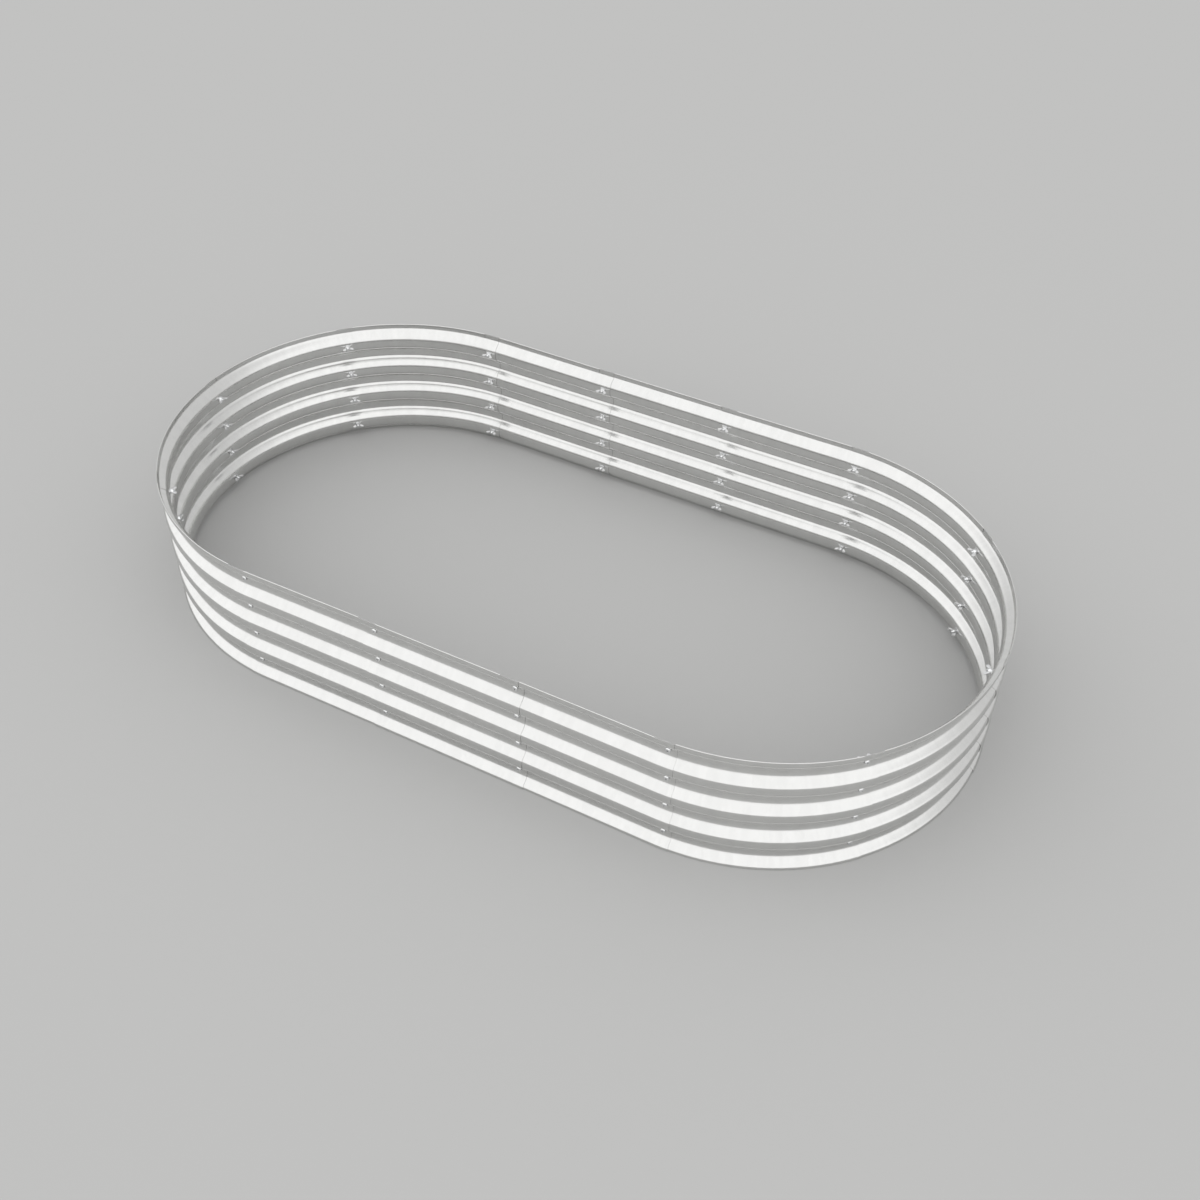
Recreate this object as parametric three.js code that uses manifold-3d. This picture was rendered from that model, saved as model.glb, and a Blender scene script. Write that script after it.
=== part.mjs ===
// Oval raised garden bed: corrugated sheet-steel panels, lapped and bolted into one ring
// that is open at the top and at the bottom. Millimetres, +Z up. The ring stands on z = 0,
// centred on the origin, with its long way along X.

import * as THREE from 'three';
import { mergeVertices } from 'three/addons/utils/BufferGeometryUtils.js';
import Module from 'manifold-3d';

const wasm = await Module();
wasm.setup();

// ---------------------------------------------------------------- driving dimensions

// Ring, measured over the crests of the outer face
const bedWidth = 920;
const straightLength = 860; // each long side, between the two round ends
const sidePanels = 3; // panels along each long side
const endPanels = 4; // panels round each end

// Corrugated sheet, cut level along the ground and along the rim
const sheetThickness = 0.8;
const rollCount = 4; // corrugations from the ground to the rim
const rollPitch = 72;
const rollDepth = 18;
const flankTilt = 40; // degrees, of the straight flanks from upright
const rimRise = 3.5; // of the rim above the middle of the top crest
const lapWidth = 34; // one panel over the next, with the bolts along its middle

// Bolts, washers and wing nuts, M6
const holeDiameter = 7;
const boltDiameter = 6;
const headDiameter = 10.5;
const headHeight = 3.3;
const headRim = 1; // straight side of the domed head
const crownDiameter = 6.5; // where the dome flattens
const crownHeight = 0.45;
const threadTail = 3; // thread showing past the nut's hub
const washerDiameter = 13;
const washerThickness = 1.2;
const hubDiameter = 11;
const hubTopDiameter = 9;
const hubHeight = 5.5;
const wingSpan = 25;
const wingHeight = 12;
const wingThickness = 1.8;
const wingTipRadius = 3.6;
const wingLean = 36; // degrees, of each wing from the face of the nut
const wingFoot = 0.8; // lowest corner of a wing, above the face
const wingNeck = 0.3; // highest corner at the hub, below its top

// Clearances
const fitGap = 0.3; // between faces that are pressed together
const threadGap = 0.3; // round the bolt, inside the washer and the nut

// Fineness of the facets
const arcFacets = 3; // over a crest and in a valley
const bendStep = 68; // longest facet round an end
const roundSides = 8; // bolts, washers, nuts and holes
const tipSides = 4; // round tip of a wing
const weldDistance = 1e-4; // points nearer than this are one

// ---------------------------------------------------------------- colours

const galvanised = { color: 0xb7b9b7, roughness: 0.34, metalness: 0.9 };
const brightZinc = { color: 0xd9dbdb, roughness: 0.24, metalness: 0.95 };

// ---------------------------------------------------------------- solids and meshes

function toManifold(geometry) {
  const bare = geometry.clone();
  bare.deleteAttribute('normal');
  bare.deleteAttribute('uv');
  const merged = mergeVertices(bare, weldDistance);
  const vertProperties = new Float32Array(merged.attributes.position.array);
  const triVerts = new Uint32Array(merged.index.array);
  return new wasm.Manifold(new wasm.Mesh({ numProp: 3, vertProperties, triVerts }));
}

function toGeometry(solid) {
  const { vertProperties, triVerts } = solid.getMesh();
  const geometry = new THREE.BufferGeometry();
  geometry.setAttribute('position', new THREE.BufferAttribute(vertProperties, 3));
  geometry.setIndex(new THREE.BufferAttribute(triVerts, 1));
  return geometry;
}

function namedMesh(name, geometry, look) {
  geometry.computeVertexNormals();
  const mesh = new THREE.Mesh(geometry, new THREE.MeshStandardMaterial(look));
  mesh.name = name;
  return mesh;
}

// A profile of [radius, height] points turned about the Z axis
function turned(points) {
  const profile = points.map(([radius, height]) => new THREE.Vector2(radius, height));
  return new THREE.LatheGeometry(profile, roundSides).rotateX(Math.PI / 2);
}

// ---------------------------------------------------------------- corrugation

// Crests and valleys are arcs of one radius with straight flanks between them, so the
// pitch, the depth and the tilt of the flanks give that radius.
const steepness = THREE.MathUtils.degToRad(flankTilt);
const arcWidth = (rollPitch / 2) * Math.sin(steepness) - rollDepth * Math.cos(steepness);
const bendRadius = arcWidth / (2 * (1 - Math.cos(steepness)));
const wallHeight = rollCount * rollPitch;

function crestHeight(roll) {
  return roll * rollPitch - rimRise;
}

function valleyHeight(roll) {
  return crestHeight(roll) + rollPitch / 2;
}

// Points of the outer face from the ground up: height, depth behind the crests and tilt
// of the face, positive where it faces upward and 0 where the sheet is cut level
const edgeDepth = bendRadius - Math.sqrt(bendRadius ** 2 - rimRise ** 2);
const corrugation = [{ height: 0, depth: edgeDepth, tilt: 0 }];

function addArc(middle, isCrest) {
  for (let step = 0; step <= arcFacets; step++) {
    const turn = steepness * ((2 * step) / arcFacets - 1);
    const height = middle + bendRadius * Math.sin(turn);
    const sag = bendRadius * (1 - Math.cos(turn));
    const depth = isCrest ? sag : rollDepth - sag;
    if (height > 0 && height < wallHeight) {
      corrugation.push({ height, depth, tilt: isCrest ? turn : -turn });
    }
  }
}

for (let roll = 0; roll < rollCount; roll++) {
  addArc(crestHeight(roll), true);
  addArc(valleyHeight(roll), false);
}
addArc(crestHeight(rollCount), true);
corrugation.push({ height: wallHeight, depth: edgeDepth, tilt: 0 });

// Depth of the outer face at a height, along the facets
function depthAt(height) {
  const above = corrugation.findIndex((point) => point.height >= height);
  const high = corrugation[above];
  const low = corrugation[above - 1];
  const share = (height - low.height) / (high.height - low.height);
  return THREE.MathUtils.lerp(low.depth, high.depth, share);
}

// ---------------------------------------------------------------- path of the ring

const endRadius = bedWidth / 2;
const endLength = Math.PI * endRadius;
const halfTurn = straightLength + endLength;
const perimeter = 2 * halfTurn;

// Place on the crest line at a distance from the left end of the front side. The path
// runs along the front to the right, and its second half is the first turned by 180 degrees.
function pathAt(distance) {
  const wrapped = THREE.MathUtils.euclideanModulo(distance, perimeter);
  const turn = wrapped < halfTurn ? 1 : -1;
  const along = THREE.MathUtils.euclideanModulo(wrapped, halfTurn);
  const bend = Math.max(0, along - straightLength) / endRadius;
  const normal = new THREE.Vector3(Math.sin(bend), -Math.cos(bend), 0);
  const place = normal.clone().multiplyScalar(endRadius);
  place.x += Math.min(along, straightLength) - straightLength / 2;
  return { place: place.multiplyScalar(turn), normal: normal.multiplyScalar(turn) };
}

// ---------------------------------------------------------------- seams

// A round panel begins where the side turns straight, so the bolts of that seam stand
// half a lap round the bend. The other seams of a side or an end are evenly spaced.
const sideSpacing = (straightLength + lapWidth) / sidePanels;
const endSpacing = (endLength - lapWidth) / endPanels;

const seams = [];
for (const [side, end, origin] of [['front', 'right', 0], ['back', 'left', halfTurn]]) {
  for (let count = 0; count < sidePanels; count++) {
    const distance = origin - lapWidth / 2 + count * sideSpacing;
    seams.push({ label: `${side}_${count + 1}`, distance, round: false });
  }
  for (let count = 0; count < endPanels; count++) {
    const distance = origin + straightLength + lapWidth / 2 + count * endSpacing;
    seams.push({ label: `${end}_${count + 1}`, distance, round: true });
  }
}

// Panel number N runs from seam N to the next one. Each panel lies outside the next one
// away from the middle of its long side, and at the laps in the middle of the ends the
// panel on the back side lies outside.
const panelCount = seams.length;
const frontMiddle = (sidePanels - 1) / 2;
const backMiddle = frontMiddle + panelCount / 2;

function stepsBetween(panel, other) {
  const steps = Math.abs(panel - other);
  return Math.min(steps, panelCount - steps);
}

function isOutside(panel, neighbour) {
  const nearBack = stepsBetween(panel, backMiddle);
  const own = Math.min(stepsBetween(panel, frontMiddle), nearBack);
  const toBack = stepsBetween(neighbour, backMiddle);
  const others = Math.min(stepsBetween(neighbour, frontMiddle), toBack);
  return own === others ? nearBack < toBack : own < others;
}

// Frame of a seam on the crest line: X along the ring, Y up and Z outward. The lap is one
// flat facet long, so the frame stands on the middle of its chord.
function seamFrame(seam) {
  const start = pathAt(seam.distance - lapWidth / 2).place;
  const end = pathAt(seam.distance + lapWidth / 2).place;
  const up = new THREE.Vector3(0, 0, 1);
  const normal = pathAt(seam.distance).normal;
  const frame = new THREE.Matrix4().makeBasis(up.clone().cross(normal), up, normal);
  return frame.setPosition(start.add(end).multiplyScalar(0.5));
}

// ---------------------------------------------------------------- panels

const lapInset = sheetThickness + fitGap; // of the panel that lies inside at a lap

// Where a panel is cut into facets along the path, with its inset at each place
function panelStations(number) {
  const before = (number + panelCount - 1) % panelCount;
  const after = (number + 1) % panelCount;
  const from = seams[number].distance + lapWidth / 2;
  const turn = after === 0 ? perimeter : 0;
  const to = seams[after].distance + turn - lapWidth / 2;
  const startInset = isOutside(number, before) ? 0 : lapInset;
  const endInset = isOutside(number, after) ? 0 : lapInset;
  const facets = seams[number].round ? Math.ceil((to - from) / bendStep) : 1;
  const stations = [{ distance: from - lapWidth, inset: startInset }];
  for (let facet = 0; facet <= facets; facet++) {
    const share = facet / facets;
    const distance = THREE.MathUtils.lerp(from, to, share);
    stations.push({ distance, inset: THREE.MathUtils.lerp(startInset, endInset, share) });
  }
  stations.push({ distance: to + lapWidth, inset: endInset });
  return stations;
}

// A point of the sheet, at an inset square to the outer face
function sheetPoint({ place, normal }, { height, depth, tilt }, inset) {
  const point = place.clone().addScaledVector(normal, -depth - inset * Math.cos(tilt));
  point.z = height - inset * Math.sin(tilt);
  return point;
}

// The sheet between its stations, before its holes: at each station a ring of points goes
// up the outer face and down the inner one
function sheetGeometry(stations) {
  const positions = [];
  for (const { distance, inset } of stations) {
    const spot = pathAt(distance);
    const outer = corrugation.map((point) => sheetPoint(spot, point, inset));
    const inner = corrugation.map((point) => sheetPoint(spot, point, inset + sheetThickness));
    for (const point of [...outer, ...inner.reverse()]) {
      positions.push(point.x, point.y, point.z);
    }
  }
  const ring = 2 * corrugation.length;
  const lastRing = ring * (stations.length - 1);
  const triangles = [];
  const addQuad = (a, b, c, d) => triangles.push(a, b, c, a, c, d);
  for (let start = 0; start < lastRing; start += ring) {
    for (let side = 0; side < ring; side++) {
      const next = (side + 1) % ring;
      addQuad(start + side, start + ring + side, start + ring + next, start + next);
    }
  }
  for (let outer = 0; outer < corrugation.length - 1; outer++) {
    const inner = ring - 1 - outer;
    addQuad(outer, outer + 1, inner - 1, inner);
    addQuad(lastRing + outer, lastRing + inner, lastRing + inner - 1, lastRing + outer + 1);
  }
  const geometry = new THREE.BufferGeometry();
  geometry.setAttribute('position', new THREE.Float32BufferAttribute(positions, 3));
  geometry.setIndex(triangles);
  return geometry;
}

// One drill through the valleys of a seam for each roll, from the crest line inward
function seamDrills(seam) {
  const radius = holeDiameter / 2;
  const length = 2 * rollDepth;
  const drills = [];
  for (let roll = 0; roll < rollCount; roll++) {
    const drill = new THREE.CylinderGeometry(radius, radius, length, roundSides);
    drill.rotateX(Math.PI / 2).translate(0, valleyHeight(roll), -length / 2);
    drills.push(toManifold(drill.applyMatrix4(seamFrame(seam))));
  }
  return drills;
}

function panelMesh(number) {
  let sheet = toManifold(sheetGeometry(panelStations(number)));
  const after = (number + 1) % panelCount;
  for (const drill of [...seamDrills(seams[number]), ...seamDrills(seams[after])]) {
    sheet = sheet.subtract(drill);
  }
  const [side, order] = seams[number].label.split('_');
  return namedMesh(`${side}_panel_${order}`, toGeometry(sheet), galvanised);
}

// ---------------------------------------------------------------- bolts, washers, nuts

// Heights along the bolt from the crest line, negative inward
const topRow = valleyHeight(rollCount - 1);
const headSeat = fitGap - depthAt(topRow + headDiameter / 2);
const bottomTilt = steepness / arcFacets; // where the facet in the bottom of a valley ends
const behindFace = (lapInset + sheetThickness) * Math.cos(bottomTilt);
const ridgeFace = -depthAt(topRow) - behindFace; // inside of the inner panel
const washerFace = ridgeFace - fitGap;
const nutFace = washerFace - washerThickness - fitGap;
const boltEnd = nutFace - hubHeight - threadTail;
const boreRadius = boltDiameter / 2 + threadGap;

function boltGeometry() {
  const shank = boltDiameter / 2;
  const head = headDiameter / 2;
  const headTop = headSeat + headHeight;
  return turned([
    [0, boltEnd],
    [shank, boltEnd],
    [shank, headSeat],
    [head, headSeat],
    [head, headSeat + headRim],
    [crownDiameter / 2, headTop - crownHeight],
    [0, headTop],
  ]);
}

function washerGeometry() {
  const outer = washerDiameter / 2;
  const back = washerFace - washerThickness;
  return turned([
    [boreRadius, back],
    [outer, back],
    [outer, washerFace],
    [boreRadius, washerFace],
    [boreRadius, back],
  ]);
}

// One ear of the nut in the XZ plane: it leans outward from the hub to a round tip
function wingGeometry() {
  const root = (boreRadius + hubTopDiameter / 2) / 2; // inside the wall of the hub
  const tipX = wingSpan / 2 - wingTipRadius;
  const tipZ = wingHeight - wingTipRadius;
  const lean = THREE.MathUtils.degToRad(wingLean);
  const outline = new THREE.Shape();
  outline.moveTo(root, wingFoot);
  outline.absarc(tipX, tipZ, wingTipRadius, lean - Math.PI / 2, lean + Math.PI / 2);
  outline.lineTo(root, hubHeight - wingNeck);
  const settings = { depth: wingThickness, bevelEnabled: false, curveSegments: tipSides };
  const wing = new THREE.ExtrudeGeometry(outline, settings);
  return wing.translate(0, 0, -wingThickness / 2).rotateX(Math.PI / 2);
}

// The nut grows inward from its face, so it is made upward and turned over
function wingNutGeometry() {
  const hub = turned([
    [boreRadius, 0],
    [hubDiameter / 2, 0],
    [hubTopDiameter / 2, hubHeight],
    [boreRadius, hubHeight],
    [boreRadius, 0],
  ]);
  const wing = wingGeometry();
  const nut = toManifold(hub)
    .add(toManifold(wing))
    .add(toManifold(wing.clone().rotateZ(Math.PI)));
  return toGeometry(nut).rotateX(Math.PI).translate(0, 0, nutFace);
}

// ---------------------------------------------------------------- assembly

const bed = new THREE.Group();

const fasteners = [
  ['bolt', boltGeometry()],
  ['washer', washerGeometry()],
  ['wing_nut', wingNutGeometry()],
];

seams.forEach((seam, number) => {
  bed.add(panelMesh(number));
  const fixing = new THREE.Group();
  fixing.applyMatrix4(seamFrame(seam));
  for (const [piece, geometry] of fasteners) {
    const mesh = namedMesh(`${piece}_${seam.label}`, geometry.clone(), brightZinc);
    mesh.position.y = topRow;
    fixing.add(mesh);
  }
  bed.add(fixing);
});

export default bed;
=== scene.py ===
"""Oval raised garden bed: corrugated galvanised panels, lapped and bolted into one ring.

Metres, +Z up. The ring stands on z = 0, centred on the origin, with its long way along X.
"""

import math
import random

import bmesh
import bpy
from mathutils import Matrix, Vector


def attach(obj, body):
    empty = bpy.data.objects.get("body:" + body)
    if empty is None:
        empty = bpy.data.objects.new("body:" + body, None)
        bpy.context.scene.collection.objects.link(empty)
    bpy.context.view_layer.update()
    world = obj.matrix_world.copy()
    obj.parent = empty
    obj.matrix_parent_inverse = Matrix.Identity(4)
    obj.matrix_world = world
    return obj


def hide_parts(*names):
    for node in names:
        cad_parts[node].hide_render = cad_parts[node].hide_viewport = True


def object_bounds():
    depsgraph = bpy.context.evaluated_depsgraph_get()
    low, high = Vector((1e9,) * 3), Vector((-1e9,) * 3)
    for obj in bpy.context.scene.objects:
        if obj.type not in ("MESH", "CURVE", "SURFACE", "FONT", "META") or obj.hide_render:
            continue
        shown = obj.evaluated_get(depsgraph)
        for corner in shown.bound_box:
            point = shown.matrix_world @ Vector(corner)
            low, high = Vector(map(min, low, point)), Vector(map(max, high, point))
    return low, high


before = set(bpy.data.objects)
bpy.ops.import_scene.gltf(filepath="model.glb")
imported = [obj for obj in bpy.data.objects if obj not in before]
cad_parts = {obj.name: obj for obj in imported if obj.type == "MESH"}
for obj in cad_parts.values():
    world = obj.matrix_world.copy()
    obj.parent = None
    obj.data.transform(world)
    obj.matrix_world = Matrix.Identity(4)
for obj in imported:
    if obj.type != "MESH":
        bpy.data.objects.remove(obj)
cad_low, cad_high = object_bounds()

# ---------------------------------------------------------------- sizes

# Ring, measured over the crests of the outer face
END_RADIUS = (cad_high.y - cad_low.y) / 2
RIM_HEIGHT = cad_high.z
STRAIGHT_LENGTH = 0.860  # of each long side, between the round ends
SIDE_PANELS = 3
END_PANELS = 4
LAP_WIDTH = 0.034

# Corrugated sheet: short upright flats on the crests and in the valleys, joined by
# bends and straight flanks
SHEET = 0.0008
ROLL_COUNT = 4
ROLL_PITCH = RIM_HEIGHT / ROLL_COUNT
ROLL_DEPTH = 0.018
FLANK_TILT = math.radians(57)  # from upright
CREST_BEND = 0.0105
VALLEY_BEND = 0.018
FLANK_RUN = ROLL_DEPTH - (CREST_BEND + VALLEY_BEND) * (1 - math.cos(FLANK_TILT))
FLANK_RISE = FLANK_RUN / math.tan(FLANK_TILT)
FLATS = ROLL_PITCH - 2 * ((CREST_BEND + VALLEY_BEND) * math.sin(FLANK_TILT) + FLANK_RISE)
CREST_FLAT = 0.58 * FLATS
VALLEY_FLAT = FLATS - CREST_FLAT
EDGE_RISE = 0.0035  # of the rim and of the bottom edge above the middle of a crest

# Hem: the sheet folded back on its inner side along the rim and along the ground
FOLD_RADIUS = 0.00105
HEM_WIDTH = 0.0085
HEM_SETBACK = 0.002  # from a lap to the end of the hem

# Bolts, washers and wing nuts, M6
HOLE_RADIUS = 0.0035
SHANK_RADIUS = 0.003
THREAD_PITCH = 0.001
THREAD_DEPTH = 0.00045
THREAD_TAIL = 0.003  # showing past the nut
HEAD_RADIUS = 0.00525
HEAD_HEIGHT = 0.0033
HEAD_RIM = 0.0010
RECESS_SPAN = 0.0046
RECESS_SLOT = 0.0011
RECESS_DEPTH = 0.0017
RECESS_TAPER = 0.6
WASHER_RADIUS = 0.0065
WASHER_THICKNESS = 0.0012
HUB_RADIUS = 0.0055
HUB_SHOULDER = 0.0049
HUB_TOP_RADIUS = 0.0045
HUB_FOOT = 0.0009
HUB_HEIGHT = 0.0055
HUB_SHOULDER_HEIGHT = HUB_HEIGHT * 0.9
WING_SPAN = 0.025
WING_HEIGHT = 0.012
WING_THICKNESS = 0.0018
WING_TIP_RADIUS = 0.0036
WING_WAIST = ((0.25, 0.62), (0.55, 0.82), (0.80, 0.95))  # share of the reach, of the tip radius
WING_TIP_TURNS = (0, 25, 50, 72)  # degrees round the tip
WING_ROUNDING = 0.00028
EDGE_BREAK = 0.0002

# Clearances
FIT_GAP = 0.0003  # between faces that are pressed together
THREAD_GAP = 0.0003  # round the bolt, inside the washer and the nut
LAP_INSET = SHEET + FIT_GAP  # of the panel that lies inside at a lap

# Fineness
BEND_STEPS = 8
FOLD_STEPS = 6
HEM_STEPS = 3
END_STEP = 0.012  # along the ring, round the ends
SIDE_STEP = 0.060  # along the ring, on the straight sides
HOLE_CLEAR = 0.008  # either side of a seam, between the cuts across the sheet
ROUND_SIDES = 28
HUB_SIDES = 16
HOLE_SIDES = 20
DOME_STEPS = 7
MERGE = 0.00012
SMALL_MERGE = 0.00001
SHARP = math.radians(42)
WING_SHARP = math.radians(38)

# ---------------------------------------------------------------- path of the ring

END_LENGTH = math.pi * END_RADIUS
HALF_RING = STRAIGHT_LENGTH + END_LENGTH


def place_at(distance):
    """Frame on the crest line, at a distance from the left end of the front side.

    X runs along the ring, Y up and Z outward. The second half is the first one turned
    by 180 degrees.
    """
    half, along = divmod(distance, HALF_RING)
    bend = max(0.0, along - STRAIGHT_LENGTH) / END_RADIUS
    middle = Vector((min(along, STRAIGHT_LENGTH) - STRAIGHT_LENGTH / 2, 0, 0))
    turn = Matrix.Rotation(math.pi * (half % 2), 4, "Z")
    swing = Matrix.Translation(middle) @ Matrix.Rotation(bend, 4, "Z")
    upright = Matrix.Translation((0, -END_RADIUS, 0)) @ Matrix.Rotation(math.pi / 2, 4, "X")
    return turn @ swing @ upright


def outward_at(distance):
    return place_at(distance).to_3x3() @ Vector((0, 0, 1))


def distance_of(point):
    """Distance along the ring of a point near it, which undoes place_at."""
    half_side = STRAIGHT_LENGTH / 2
    second = point.x < -half_side or (point.x <= half_side and point.y > 0)
    turn = -1 if second else 1
    past = turn * point.x - half_side
    along = past + STRAIGHT_LENGTH
    if past > 0:
        along = STRAIGHT_LENGTH + END_RADIUS * (math.atan2(turn * point.y, past) + math.pi / 2)
    return along + (HALF_RING if second else 0)


# ---------------------------------------------------------------- seams and panels

SIDE_SPACING = (STRAIGHT_LENGTH + LAP_WIDTH) / SIDE_PANELS
END_SPACING = (END_LENGTH - LAP_WIDTH) / END_PANELS
PANEL_COUNT = 2 * (SIDE_PANELS + END_PANELS)
FRONT_MIDDLE = (SIDE_PANELS - 1) / 2
BACK_MIDDLE = FRONT_MIDDLE + PANEL_COUNT / 2


def ring_seams():
    """Label and distance of each seam, in order round the ring."""
    seams = []
    for side, end, origin in (("front", "right", 0), ("back", "left", HALF_RING)):
        for count in range(SIDE_PANELS):
            seams.append((f"{side}_{count + 1}", origin - LAP_WIDTH / 2 + count * SIDE_SPACING))
        first = origin + STRAIGHT_LENGTH + LAP_WIDTH / 2
        for count in range(END_PANELS):
            seams.append((f"{end}_{count + 1}", first + count * END_SPACING))
    return seams


SEAMS = ring_seams()


def steps_between(panel, other):
    steps = abs(panel - other)
    return min(steps, PANEL_COUNT - steps)


def is_outside(panel, neighbour):
    """True for the panel nearer the middle of its long side, or at an end the back one."""
    near_back = steps_between(panel, BACK_MIDDLE)
    own = min(steps_between(panel, FRONT_MIDDLE), near_back)
    to_back = steps_between(neighbour, BACK_MIDDLE)
    others = min(steps_between(neighbour, FRONT_MIDDLE), to_back)
    return near_back < to_back if own == others else own < others


def stations(start, end, step):
    """Distances from start to end in even steps no longer than step."""
    count = max(1, math.ceil((end - start) / step - 1e-6))
    return [start + (end - start) * share / count for share in range(count + 1)]


class Panel:
    """A panel's place on the ring, and how far it is set in at its two laps."""

    def __init__(self, number):
        before = (number - 1) % PANEL_COUNT
        after = (number + 1) % PANEL_COUNT
        label, self.first = SEAMS[number]
        self.last = SEAMS[after][1] + (2 * HALF_RING if after == 0 else 0)
        self.side, order = label.split("_")
        self.node = f"{self.side}_panel_{order}"
        self.start_inset = 0 if is_outside(number, before) else LAP_INSET
        self.end_inset = 0 if is_outside(number, after) else LAP_INSET
        self.lap_end = self.first + LAP_WIDTH / 2
        self.lap_start = self.last - LAP_WIDTH / 2

    def distance(self, point):
        """Distance of a point along the ring, without a jump inside the panel."""
        middle = (self.first + self.last) / 2
        beside = distance_of(point) - middle
        return middle + (beside + HALF_RING) % (2 * HALF_RING) - HALF_RING

    def inset(self, distance):
        share = (distance - self.lap_end) / (self.lap_start - self.lap_end)
        share = max(0.0, min(1.0, share))
        return self.start_inset + (self.end_inset - self.start_inset) * share

    def hem_cuts(self):
        """Where the hems are cut across, from one lap to the other."""
        plain = [cut for cut in self.plain_cuts() if self.lap_end < cut < self.lap_start]
        return [self.lap_end + HEM_SETBACK, *plain, self.lap_start - HEM_SETBACK]

    def plain_cuts(self):
        marks = []
        for seam in (self.first, self.last):
            marks += [seam - LAP_WIDTH / 2, seam - HOLE_CLEAR, seam + HOLE_CLEAR, seam + LAP_WIDTH / 2]
        step = END_STEP if self.side in ("left", "right") else SIDE_STEP
        cuts = []
        for start, end in zip(marks, marks[1:]):
            cuts += stations(start, end, step)[:-1]
        return cuts + marks[-1:]

    def cuts(self):
        """Where the sheet is cut across, with the ends of the hems among them."""
        return sorted(set(self.plain_cuts()) | set(self.hem_cuts()))


# ---------------------------------------------------------------- making meshes


def finished(bm, name, material):
    """The piece made from a bmesh that is already in place."""
    mesh = bpy.data.meshes.new(name)
    bm.to_mesh(mesh)
    bm.free()
    mesh.materials.append(material)
    piece = bpy.data.objects.new(name, mesh)
    bpy.context.scene.collection.objects.link(piece)
    return piece


def cut_away(piece, cutter):
    cut = piece.modifiers.new(cutter.name, "BOOLEAN")
    cut.operation = "DIFFERENCE"
    cut.solver = "EXACT"
    cut.object = cutter


def bake_modifiers(piece):
    """Puts the outcome of the modifiers into the mesh."""
    graph = bpy.context.evaluated_depsgraph_get()
    mesh = bpy.data.meshes.new_from_object(piece.evaluated_get(graph))
    piece.modifiers.clear()
    old = piece.data
    piece.data = mesh
    bpy.data.meshes.remove(old)
    mesh.name = piece.name


def throw_away(piece):
    mesh = piece.data
    bpy.data.objects.remove(piece)
    bpy.data.meshes.remove(mesh)


def smooth_with_sharp_edges(mesh):
    mesh.shade_smooth()
    mesh.set_sharp_from_angle(angle=SHARP)


def parts_of(parts, kind):
    return [part for part in parts if isinstance(part, kind)]


def draw_arc(bm, start, centre, angle, steps):
    """Draws an arc from a vertex, in the YZ plane of the seam frame, and gives its end."""
    drawn = bmesh.ops.spin(
        bm, geom=[start], cent=centre, axis=(1, 0, 0), angle=angle, steps=steps, use_duplicate=False
    )
    return parts_of(drawn["geom_last"], bmesh.types.BMVert)[0]


def draw_line(bm, start, rise, run):
    """Draws a straight line from a vertex, up by rise and outward by run."""
    end = bmesh.ops.extrude_vert_indiv(bm, verts=[start])["verts"][0]
    end.co += Vector((0, rise, run))
    return end


def sweep(bm, edges, distances):
    """Carries a chain of edges along the ring, from the first of these distances on."""
    for here, there in zip(distances, distances[1:]):
        grown = bmesh.ops.extrude_edge_only(bm, edges=edges)["geom"]
        edges = parts_of(grown, bmesh.types.BMEdge)
        step = place_at(there) @ place_at(here).inverted()
        bmesh.ops.transform(bm, matrix=step, verts=parts_of(grown, bmesh.types.BMVert))


# ---------------------------------------------------------------- panels


def crest_middle(roll):
    """Height of the middle of a crest; the first lies under the ground."""
    return roll * ROLL_PITCH - EDGE_RISE


def valley_middle(roll):
    """Height of the middle of a valley, where the bolts are."""
    return (roll + 0.5) * ROLL_PITCH - EDGE_RISE


def crest_bend(roll, side):
    """Centre of the bend above a crest's flat, or below it where side is -1."""
    return (0, crest_middle(roll) + side * CREST_FLAT / 2, -CREST_BEND)


def valley_bend(roll, side):
    return (0, valley_middle(roll) + side * VALLEY_FLAT / 2, VALLEY_BEND - ROLL_DEPTH)


def draw_section(bm):
    """The outer face's section, drawn from the ground to the rim in the seam frame."""
    tip = bm.verts.new((0, FOLD_RADIUS, 0))
    tip = draw_line(bm, tip, crest_bend(0, 1)[1] - FOLD_RADIUS, 0)
    for roll in range(ROLL_COUNT):
        tip = draw_arc(bm, tip, crest_bend(roll, 1), -FLANK_TILT, BEND_STEPS)
        tip = draw_line(bm, tip, FLANK_RISE, -FLANK_RUN)
        tip = draw_arc(bm, tip, valley_bend(roll, -1), FLANK_TILT, BEND_STEPS)
        tip = draw_line(bm, tip, VALLEY_FLAT, 0)
        tip = draw_arc(bm, tip, valley_bend(roll, 1), FLANK_TILT, BEND_STEPS)
        tip = draw_line(bm, tip, FLANK_RISE, FLANK_RUN)
        tip = draw_arc(bm, tip, crest_bend(roll + 1, -1), -FLANK_TILT, BEND_STEPS)
        end = crest_bend(roll + 1, 1)[1] if roll < ROLL_COUNT - 1 else RIM_HEIGHT - FOLD_RADIUS
        tip = draw_line(bm, tip, end - tip.co.y, 0)


def draw_hem(bm, roll, turn):
    """The fold at an edge and the hem behind it, in the seam frame.

    turn is -1 at the rim, where the sheet goes up and over, and 1 at the ground.
    """
    height = FOLD_RADIUS if turn > 0 else RIM_HEIGHT - FOLD_RADIUS
    bend = crest_bend(roll, turn)
    flat = abs(bend[1] - height)
    turned_in = (HEM_WIDTH - flat) / (CREST_BEND - 2 * FOLD_RADIUS)
    edge = bm.verts.new((0, height, 0))
    tip = draw_arc(bm, edge, (0, height, -FOLD_RADIUS), turn * math.pi, FOLD_STEPS)
    tip = draw_line(bm, tip, turn * flat, 0)
    draw_arc(bm, tip, bend, -turn * turned_in, HEM_STEPS)


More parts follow.
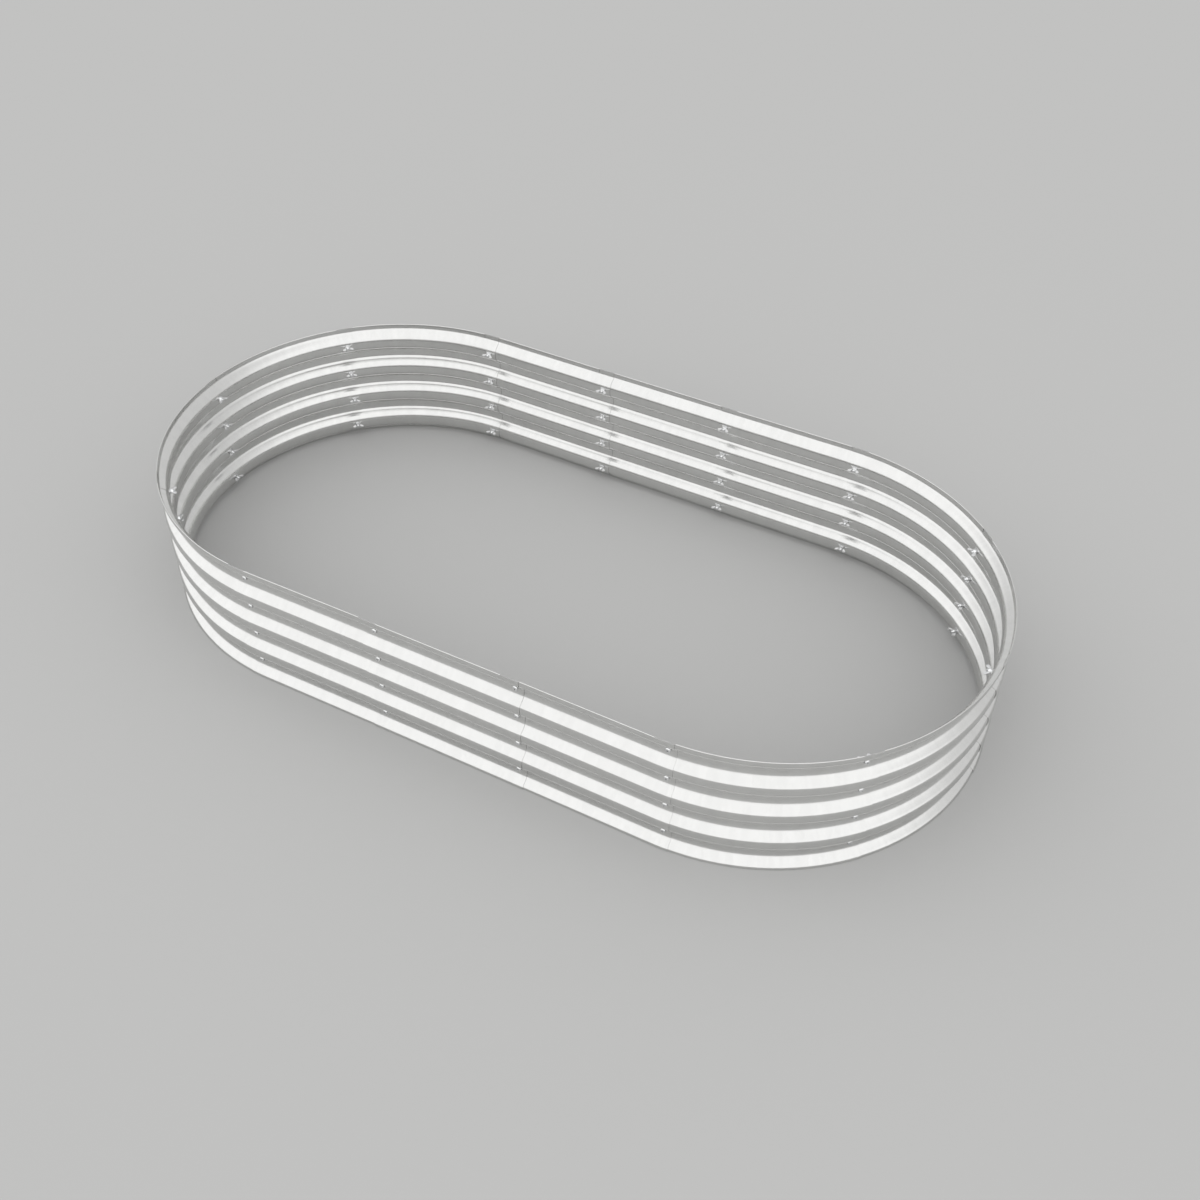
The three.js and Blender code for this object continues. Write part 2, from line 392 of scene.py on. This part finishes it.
def face_outward(bm):
    """Makes the faces of an open sheet agree, with their fronts outside the ring."""
    bmesh.ops.recalc_face_normals(bm, faces=bm.faces)
    bm.normal_update()
    outside = 0
    for face in bm.faces:
        middle = face.calc_center_median()
        outside += face.calc_area() * face.normal.dot(outward_at(distance_of(middle)))
    if outside < 0:
        bmesh.ops.reverse_faces(bm, faces=bm.faces)
        bm.normal_update()


def set_in(verts, panel, upright=False):
    """Moves points level inward, so that the face comes in by the panel's inset.

    The face is taken as upright, or else as leaning the way of each point's normal.
    """
    for vert in verts:
        distance = panel.distance(vert.co)
        outward = outward_at(distance)
        lean = 1 if upright else vert.normal.dot(outward)
        vert.co -= outward * panel.inset(distance) / lean


def sheet_face(panel):
    """Outer face of a panel, set in at its laps, without the hems."""
    bm = bmesh.new()
    draw_section(bm)
    cuts = panel.cuts()
    bmesh.ops.transform(bm, matrix=place_at(cuts[0]), verts=bm.verts)
    sweep(bm, list(bm.edges), cuts)
    face_outward(bm)
    set_in(bm.verts, panel)
    return bm


def add_hem(bm, panel, roll, turn):
    sheet = set(bm.verts)
    draw_hem(bm, roll, turn)
    chain = [edge for edge in bm.edges if edge.verts[0] not in sheet]
    cuts = panel.hem_cuts()
    drawn = [vert for vert in bm.verts if vert not in sheet]
    bmesh.ops.transform(bm, matrix=place_at(cuts[0]), verts=drawn)
    sweep(bm, chain, cuts)
    set_in([vert for vert in bm.verts if vert not in sheet], panel, upright=True)


def drill_rods(panel, material):
    """The holes of a panel's two seams, as closed rods."""
    bm = bmesh.new()
    for seam in (panel.first, panel.last):
        for roll in range(ROLL_COUNT):
            middle = Matrix.Translation((0, valley_middle(roll), -ROLL_DEPTH))
            bmesh.ops.create_cone(
                bm,
                cap_ends=True,
                segments=HOLE_SIDES,
                radius1=HOLE_RADIUS,
                radius2=HOLE_RADIUS,
                depth=ROLL_DEPTH,
                matrix=place_at(seam) @ middle,
            )
    return finished(bm, "holes", material)


def mark_distance(mesh, panel):
    """Stores how far along the ring each point is, for the pattern of the sheet."""
    along = mesh.attributes.new("along_ring", "FLOAT", "POINT")
    along.data.foreach_set("value", [panel.distance(vert.co) for vert in mesh.vertices])


def make_panel(number, material):
    panel = Panel(number)
    bm = sheet_face(panel)
    add_hem(bm, panel, 0, 1)
    add_hem(bm, panel, ROLL_COUNT, -1)
    bmesh.ops.remove_doubles(bm, verts=bm.verts, dist=MERGE)
    face_outward(bm)
    piece = finished(bm, f"{panel.node}_sheet", material)
    wall = piece.modifiers.new("wall", "SOLIDIFY")
    wall.thickness = SHEET
    wall.offset = -1
    wall.use_even_offset = True
    rods = drill_rods(panel, material)
    cut_away(piece, rods)
    bake_modifiers(piece)
    throw_away(rods)
    smooth_with_sharp_edges(piece.data)
    mark_distance(piece.data, panel)
    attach(piece, "root")
    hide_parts(panel.node)


# ---------------------------------------------------------------- bolts, washers, nuts


def valley_rise(beside):
    """How far the outer face stands above the bottom of a valley, beside its middle."""
    past_flat = max(0, beside - VALLEY_FLAT / 2)
    return VALLEY_BEND - math.sqrt(VALLEY_BEND**2 - past_flat**2)


# Heights along a bolt, outward from the crest line
HEAD_SEAT = valley_rise(HEAD_RADIUS) - ROLL_DEPTH + FIT_GAP
HEAD_TOP = HEAD_SEAT + HEAD_HEIGHT
RIDGE_FACE = -ROLL_DEPTH - LAP_INSET - SHEET
WASHER_FACE = RIDGE_FACE - FIT_GAP
NUT_FACE = WASHER_FACE - WASHER_THICKNESS - FIT_GAP
NUT_END = NUT_FACE - HUB_HEIGHT
BOLT_END = NUT_END - THREAD_TAIL
BORE_RADIUS = SHANK_RADIUS + THREAD_GAP


def turned(profile, sides):
    """A closed solid turned about Z from a profile of (radius, height) points."""
    bm = bmesh.new()
    verts = [bm.verts.new((radius, 0, height)) for radius, height in profile]
    edges = [bm.edges.new(pair) for pair in zip(verts, verts[1:])]
    bmesh.ops.spin(
        bm,
        geom=verts + edges,
        cent=(0, 0, 0),
        axis=(0, 0, 1),
        angle=2 * math.pi,
        steps=sides,
        use_merge=True,
        use_duplicate=False,
    )
    bmesh.ops.remove_doubles(bm, verts=bm.verts, dist=SMALL_MERGE)
    bmesh.ops.recalc_face_normals(bm, faces=bm.faces)
    return bm


def bolt_profile():
    root = SHANK_RADIUS - THREAD_DEPTH
    profile = [(0, BOLT_END), (root, BOLT_END)]
    for turn in range(math.ceil(THREAD_TAIL / THREAD_PITCH) + 1):
        height = BOLT_END + (turn + 0.5) * THREAD_PITCH
        profile += [(SHANK_RADIUS, height), (root, height + THREAD_PITCH / 2)]
    profile += [(SHANK_RADIUS, profile[-1][1] + THREAD_DEPTH), (SHANK_RADIUS, HEAD_SEAT)]
    profile += [(HEAD_RADIUS - EDGE_BREAK, HEAD_SEAT), (HEAD_RADIUS, HEAD_SEAT + EDGE_BREAK)]
    for step in range(DOME_STEPS):
        climb = step / DOME_STEPS * math.pi / 2
        height = HEAD_SEAT + HEAD_RIM + (HEAD_HEIGHT - HEAD_RIM) * math.sin(climb)
        profile.append((HEAD_RADIUS * math.cos(climb), height))
    return profile + [(0, HEAD_TOP)]


def recess_tool():
    """A cross with four arms that narrows towards the bottom of the recess."""
    bm = bmesh.new()
    bmesh.ops.create_cube(bm, size=RECESS_SLOT)
    bmesh.ops.scale(bm, verts=bm.verts, vec=(1, 1, 2 * RECESS_DEPTH / RECESS_SLOT))
    bm.normal_update()
    sides = [face for face in bm.faces if abs(face.normal.z) < 0.5]
    for arm in bmesh.ops.extrude_discrete_faces(bm, faces=sides)["faces"]:
        reach = arm.normal * (RECESS_SPAN - RECESS_SLOT) / 2
        bmesh.ops.translate(bm, verts=arm.verts, vec=reach)
    deep = [vert for vert in bm.verts if vert.co.z < 0]
    bmesh.ops.scale(bm, verts=deep, vec=(RECESS_TAPER, RECESS_TAPER, 1))
    bmesh.ops.translate(bm, verts=bm.verts, vec=(0, 0, HEAD_TOP))
    return bm


def make_bolt(material):
    bolt = finished(turned(bolt_profile(), ROUND_SIDES), "bolt", material)
    recess = finished(recess_tool(), "recess", material)
    cut_away(bolt, recess)
    bake_modifiers(bolt)
    throw_away(recess)
    return bolt


def make_washer(material):
    top = WASHER_FACE
    bottom = top - WASHER_THICKNESS
    profile = [
        (BORE_RADIUS, bottom),
        (WASHER_RADIUS - EDGE_BREAK, bottom),
        (WASHER_RADIUS, bottom + EDGE_BREAK),
        (WASHER_RADIUS, top - EDGE_BREAK),
        (WASHER_RADIUS - EDGE_BREAK, top),
        (BORE_RADIUS, top),
        (BORE_RADIUS, bottom),
    ]
    return finished(turned(profile, ROUND_SIDES), "washer", material)


def wing_outline(reach):
    """Half widths of a wing at distances from the hub, up to its round tip."""
    outline = [(reach * share, WING_TIP_RADIUS * width) for share, width in WING_WAIST]
    for turn in WING_TIP_TURNS:
        angle = math.radians(turn)
        outline.append((reach + WING_TIP_RADIUS * math.sin(angle), WING_TIP_RADIUS * math.cos(angle)))
    return outline


def grow_wing(bm, wall, side):
    """Draws a wing out of a flat of the hub, up and away to one side."""
    root = wall.calc_center_median()
    end = Vector((side * (WING_SPAN / 2 - WING_TIP_RADIUS), 0, WING_HEIGHT - WING_TIP_RADIUS))
    lean = (end - root).normalized()
    across = lean.cross((0, 1, 0))
    for run, half_width in wing_outline((end - root).length):
        wall = bmesh.ops.extrude_discrete_faces(bm, faces=[wall])["faces"][0]
        middle = wall.calc_center_median()
        for vert in wall.verts:
            beside = vert.co - middle
            vert.co = root + lean * run
            vert.co += across * math.copysign(half_width, beside.dot(across))
            vert.co.y += math.copysign(WING_THICKNESS / 2, beside.y)


def make_wing_nut(material):
    """Hub with two wings, made upward from its face and then turned over."""
    profile = [
        (BORE_RADIUS, 0),
        (HUB_RADIUS, 0),
        (HUB_RADIUS, HUB_FOOT),
        (HUB_SHOULDER, HUB_SHOULDER_HEIGHT),
        (HUB_TOP_RADIUS, HUB_HEIGHT),
        (BORE_RADIUS, HUB_HEIGHT),
        (BORE_RADIUS, 0),
    ]
    bm = turned(profile, HUB_SIDES)
    flats_to_sides = Matrix.Rotation(math.pi / HUB_SIDES, 3, "Z")
    bmesh.ops.rotate(bm, verts=bm.verts, cent=(0, 0, 0), matrix=flats_to_sides)
    bm.normal_update()
    for side in (1, -1):
        walls = [face for face in bm.faces if face.calc_center_median().x * side > HUB_TOP_RADIUS]
        grow_wing(bm, max(walls, key=lambda face: face.normal.x * side * face.calc_area()), side)
    bm.normal_update()
    sharp = [edge for edge in bm.edges if edge.is_manifold and edge.calc_face_angle() > WING_SHARP]
    bmesh.ops.bevel(
        bm,
        geom=sharp,
        offset=WING_ROUNDING,
        segments=2,
        profile=0.5,
        affect="EDGES",
        material=-1,
    )
    bmesh.ops.recalc_face_normals(bm, faces=bm.faces)
    turn_over = Matrix.Translation((0, 0, NUT_FACE)) @ Matrix.Rotation(math.pi, 4, "X")
    bmesh.ops.transform(bm, matrix=turn_over, verts=bm.verts)
    return finished(bm, "wing_nut", material)


# ---------------------------------------------------------------- materials


def add_node(tree, kind, inputs=None, **settings):
    """Adds a node; an input is either a value or the socket that it is linked to."""
    made = tree.nodes.new(kind)
    for name, value in settings.items():
        setattr(made, name, value)
    for name, value in (inputs or {}).items():
        if isinstance(value, bpy.types.NodeSocket):
            tree.links.new(value, made.inputs[name])
        else:
            made.inputs[name].default_value = value
    return made


def zinc_finish_group():
    """Clouds and fine grain of a zinc coat: its colour, roughness and height."""
    group = bpy.data.node_groups.new("zinc_finish", "ShaderNodeTree")
    for name, kind in (
        ("Vector", "NodeSocketVector"),
        ("Colour", "NodeSocketColor"),
        ("Clouded Colour", "NodeSocketColor"),
        ("Cloud Scale", "NodeSocketFloat"),
        ("Grain Scale", "NodeSocketFloat"),
        ("Roughness", "NodeSocketFloat"),
        ("Roughness Spread", "NodeSocketFloat"),
    ):
        group.interface.new_socket(name, in_out="INPUT", socket_type=kind)
    for name, kind in (
        ("Colour", "NodeSocketColor"),
        ("Roughness", "NodeSocketFloat"),
        ("Height", "NodeSocketFloat"),
    ):
        group.interface.new_socket(name, in_out="OUTPUT", socket_type=kind)
    given = group.nodes.new("NodeGroupInput").outputs
    clouds = add_node(
        group,
        "ShaderNodeTexNoise",
        {"Vector": given["Vector"], "Scale": given["Cloud Scale"], "Detail": 4, "Roughness": 0.6},
    )
    grain = add_node(
        group,
        "ShaderNodeTexNoise",
        {"Vector": given["Vector"], "Scale": given["Grain Scale"], "Detail": 3, "Roughness": 0.7},
    )
    cover = add_node(
        group,
        "ShaderNodeMapRange",
        {"Value": clouds.outputs["Fac"], "From Min": 0.35, "From Max": 0.65},
        interpolation_type="SMOOTHSTEP",
    )
    tint = add_node(
        group,
        "ShaderNodeMix",
        {"Factor": cover.outputs["Result"], "A": given["Colour"], "B": given["Clouded Colour"]},
        data_type="RGBA",
    )
    blend = add_node(
        group,
        "ShaderNodeMix",
        {"Factor": 0.5, "A": clouds.outputs["Fac"], "B": grain.outputs["Fac"]},
    )
    centred = add_node(
        group,
        "ShaderNodeMath",
        {0: blend.outputs["Result"], 1: 0.5},
        operation="SUBTRACT",
    )
    roughness = add_node(
        group,
        "ShaderNodeMath",
        {0: centred.outputs[0], 1: given["Roughness Spread"], 2: given["Roughness"]},
        operation="MULTIPLY_ADD",
    )
    add_node(
        group,
        "NodeGroupOutput",
        {
            "Colour": tint.outputs["Result"],
            "Roughness": roughness.outputs[0],
            "Height": grain.outputs["Fac"],
        },
    )
    return group


def metal(name):
    """A metal material, its shader and its tree."""
    material = bpy.data.materials.new(name)
    material.use_nodes = True
    tree = material.node_tree
    shader = tree.nodes["Principled BSDF"]
    shader.inputs["Metallic"].default_value = 1
    return material, shader, tree


def galvanised_material(zinc_finish):
    """Dull zinc on sheet: clouds drawn out upright by the rolling, faint crystals, grain."""
    material, shader, tree = metal("galvanised_sheet")
    place = add_node(tree, "ShaderNodeTexCoord").outputs["Object"]
    height = add_node(tree, "ShaderNodeSeparateXYZ", {"Vector": place}).outputs["Z"]
    along = add_node(tree, "ShaderNodeAttribute", attribute_name="along_ring").outputs["Fac"]
    unrolled = add_node(tree, "ShaderNodeCombineXYZ", {"X": along, "Y": height}).outputs["Vector"]
    upright = add_node(tree, "ShaderNodeMapping", {"Vector": unrolled, "Scale": (1, 0.12, 1)})
    finish = add_node(
        tree,
        "ShaderNodeGroup",
        {
            "Vector": upright.outputs["Vector"],
            "Colour": (0.745, 0.745, 0.735, 1),
            "Clouded Colour": (0.722, 0.722, 0.712, 1),
            "Cloud Scale": 42,
            "Grain Scale": 900,
            "Roughness": 0.22,
            "Roughness Spread": 0.06,
        },
        node_tree=zinc_finish,
    )
    crystals = add_node(tree, "ShaderNodeTexVoronoi", {"Vector": unrolled, "Scale": 110})
    spangle = add_node(tree, "ShaderNodeSeparateColor", {"Color": crystals.outputs["Color"]})
    shade = add_node(
        tree,
        "ShaderNodeMapRange",
        {"Value": spangle.outputs["Red"], "To Min": 0.975, "To Max": 1.0},
    )
    colour = add_node(
        tree,
        "ShaderNodeMix",
        {"Factor": 1, "A": finish.outputs["Colour"], "B": shade.outputs["Result"]},
        data_type="RGBA",
        blend_type="MULTIPLY",
    )
    tree.links.new(colour.outputs["Result"], shader.inputs["Base Color"])
    tree.links.new(finish.outputs["Roughness"], shader.inputs["Roughness"])
    waves = add_node(tree, "ShaderNodeTexNoise", {"Vector": unrolled, "Scale": 9, "Detail": 1})
    slow = add_node(
        tree,
        "ShaderNodeBump",
        {"Height": waves.outputs["Fac"], "Strength": 1, "Distance": 0.00008},
    )
    fine = add_node(
        tree,
        "ShaderNodeBump",
        {
            "Height": finish.outputs["Height"],
            "Strength": 1,
            "Distance": 0.000006,
            "Normal": slow.outputs["Normal"],
        },
    )
    tree.links.new(fine.outputs["Normal"], shader.inputs["Normal"])
    return material


def bright_zinc_material(zinc_finish):
    """Bright plating on the bolts, washers and wing nuts."""
    material, shader, tree = metal("bright_zinc")
    place = add_node(tree, "ShaderNodeTexCoord").outputs["Object"]
    finish = add_node(
        tree,
        "ShaderNodeGroup",
        {
            "Vector": place,
            "Colour": (0.86, 0.865, 0.87, 1),
            "Clouded Colour": (0.78, 0.785, 0.79, 1),
            "Cloud Scale": 260,
            "Grain Scale": 2600,
            "Roughness": 0.16,
            "Roughness Spread": 0.12,
        },
        node_tree=zinc_finish,
    )
    tree.links.new(finish.outputs["Colour"], shader.inputs["Base Color"])
    tree.links.new(finish.outputs["Roughness"], shader.inputs["Roughness"])
    fine = add_node(
        tree,
        "ShaderNodeBump",
        {"Height": finish.outputs["Height"], "Strength": 1, "Distance": 0.000008},
    )
    tree.links.new(fine.outputs["Normal"], shader.inputs["Normal"])
    return material


zinc_finish = zinc_finish_group()
galvanised = galvanised_material(zinc_finish)
bright_zinc = bright_zinc_material(zinc_finish)

# ---------------------------------------------------------------- assembly

for number in range(PANEL_COUNT):
    make_panel(number, galvanised)

# Each pattern piece, and how far a copy of it may be turned either way
fasteners = {
    "bolt": (make_bolt(bright_zinc), math.pi),
    "washer": (make_washer(bright_zinc), math.pi),
    "wing_nut": (make_wing_nut(bright_zinc), math.radians(4)),
}
for pattern, _ in fasteners.values():
    smooth_with_sharp_edges(pattern.data)
chance = random.Random(6)
for label, distance in SEAMS:
    for roll in range(ROLL_COUNT):
        seat = place_at(distance) @ Matrix.Translation((0, valley_middle(roll), 0))
        for name, (pattern, spread) in fasteners.items():
            mesh = pattern.data.copy()
            mesh.transform(seat @ Matrix.Rotation(chance.uniform(-spread, spread), 4, "Z"))
            piece = bpy.data.objects.new(f"{name}_{label}_row_{roll + 1}", mesh)
            bpy.context.scene.collection.objects.link(piece)
            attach(piece, "root")
            if roll == ROLL_COUNT - 1:
                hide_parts(f"{name}_{label}")
for pattern, _ in fasteners.values():
    throw_away(pattern)

# ---------------------------------------------------------------- studio

FLOOR_HALF = 20
FLOOR_COLOUR = (0.50, 0.50, 0.495, 1)
FRONT_LIGHT = 1.25
BACK_LIGHT = 0.75
FADE_START = -0.1  # of the light, along Y of the unit direction
FADE_END = 0.6


def make_floor():
    """Plain floor without gloss."""
    material = bpy.data.materials.new("studio_floor")
    material.use_nodes = True
    shader = material.node_tree.nodes["Principled BSDF"]
    shader.inputs["Base Color"].default_value = FLOOR_COLOUR
    shader.inputs["Roughness"].default_value = 1
    shader.inputs["Specular IOR Level"].default_value = 0
    bm = bmesh.new()
    bmesh.ops.create_grid(bm, x_segments=1, y_segments=1, size=FLOOR_HALF)
    floor = finished(bm, "floor", material)


def make_world():
    """Soft light from all sides, weaker from behind the bed."""
    world = bpy.data.worlds.new("studio")
    bpy.context.scene.world = world
    world.use_nodes = True
    tree = world.node_tree
    direction = add_node(tree, "ShaderNodeTexCoord").outputs["Generated"]
    parts = add_node(tree, "ShaderNodeSeparateXYZ", {"Vector": direction}).outputs
    strength = add_node(
        tree,
        "ShaderNodeMapRange",
        {
            "Value": parts["Y"],
            "From Min": FADE_START,
            "From Max": FADE_END,
            "To Min": FRONT_LIGHT,
            "To Max": BACK_LIGHT,
        },
        interpolation_type="SMOOTHSTEP",
    )
    background = tree.nodes["Background"]
    background.inputs["Color"].default_value = (1, 1, 1, 1)
    tree.links.new(strength.outputs["Result"], background.inputs["Strength"])


make_floor()
make_world()

# ---------------------------------------------------------------- camera

CAMERA_PLACE = (1.0636, -1.8698, 2.0216)
CAMERA_AZIMUTH = math.radians(27.71)  # from the front towards the right end
CAMERA_ELEVATION = math.radians(42.74)
CAMERA_ROLL = math.radians(0.774)
CAMERA_LENS = 41.99


def make_camera():
    data = bpy.data.cameras.new("camera")
    data.sensor_width = 36
    data.lens = CAMERA_LENS
    camera = bpy.data.objects.new("camera", data)
    bpy.context.scene.collection.objects.link(camera)
    facing = Matrix.Rotation(CAMERA_AZIMUTH, 4, "Z")
    tipped = Matrix.Rotation(math.pi / 2 - CAMERA_ELEVATION, 4, "X")
    rolled = Matrix.Rotation(CAMERA_ROLL, 4, "Z")
    camera.matrix_world = Matrix.Translation(CAMERA_PLACE) @ facing @ tipped @ rolled
    bpy.context.scene.camera = camera


make_camera()
bpy.context.scene.view_settings.view_transform = "Standard"
